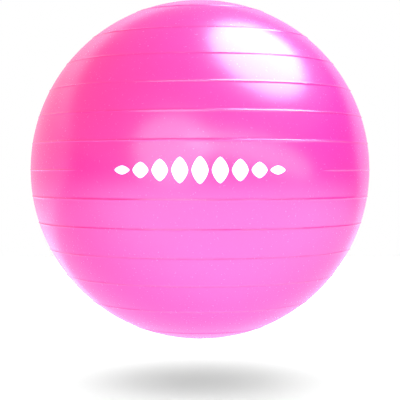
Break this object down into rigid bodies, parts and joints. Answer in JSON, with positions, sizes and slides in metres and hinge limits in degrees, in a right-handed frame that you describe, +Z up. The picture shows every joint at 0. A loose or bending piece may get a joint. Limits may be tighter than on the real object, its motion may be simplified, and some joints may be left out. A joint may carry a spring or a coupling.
{
  "type": "exercise ball",
  "caption": "Inflated round exercise ball with raised horizontal grip rings and a push-in valve plug flush in its top.",
  "frame": {"origin": "middle of the small flat patch that the ball rests on", "axes": "+Z up through the ball's centre, out along the valve; -Y is the printed front; +X is to the right as seen from the front"},
  "size_m": [0.6516, 0.6508, 0.6482],
  "materials": {
    "ball_pvc": "satin",
    "seat_pvc": "satin",
    "plug_polyethylene": "satin",
    "print_ink": "satin"
  },
  "bodies": {
    "ball": {"ball_skin": "ball_pvc", "valve_seat": "seat_pvc"},
    "plug": {"valve_plug": "plug_polyethylene"}
  },
  "joints": [
    {"name": "plug_pull", "type": "slide", "parent": "ball", "child": "plug", "axis": [0, 0, 1], "range_m": [0, 0.04]}
  ]
}
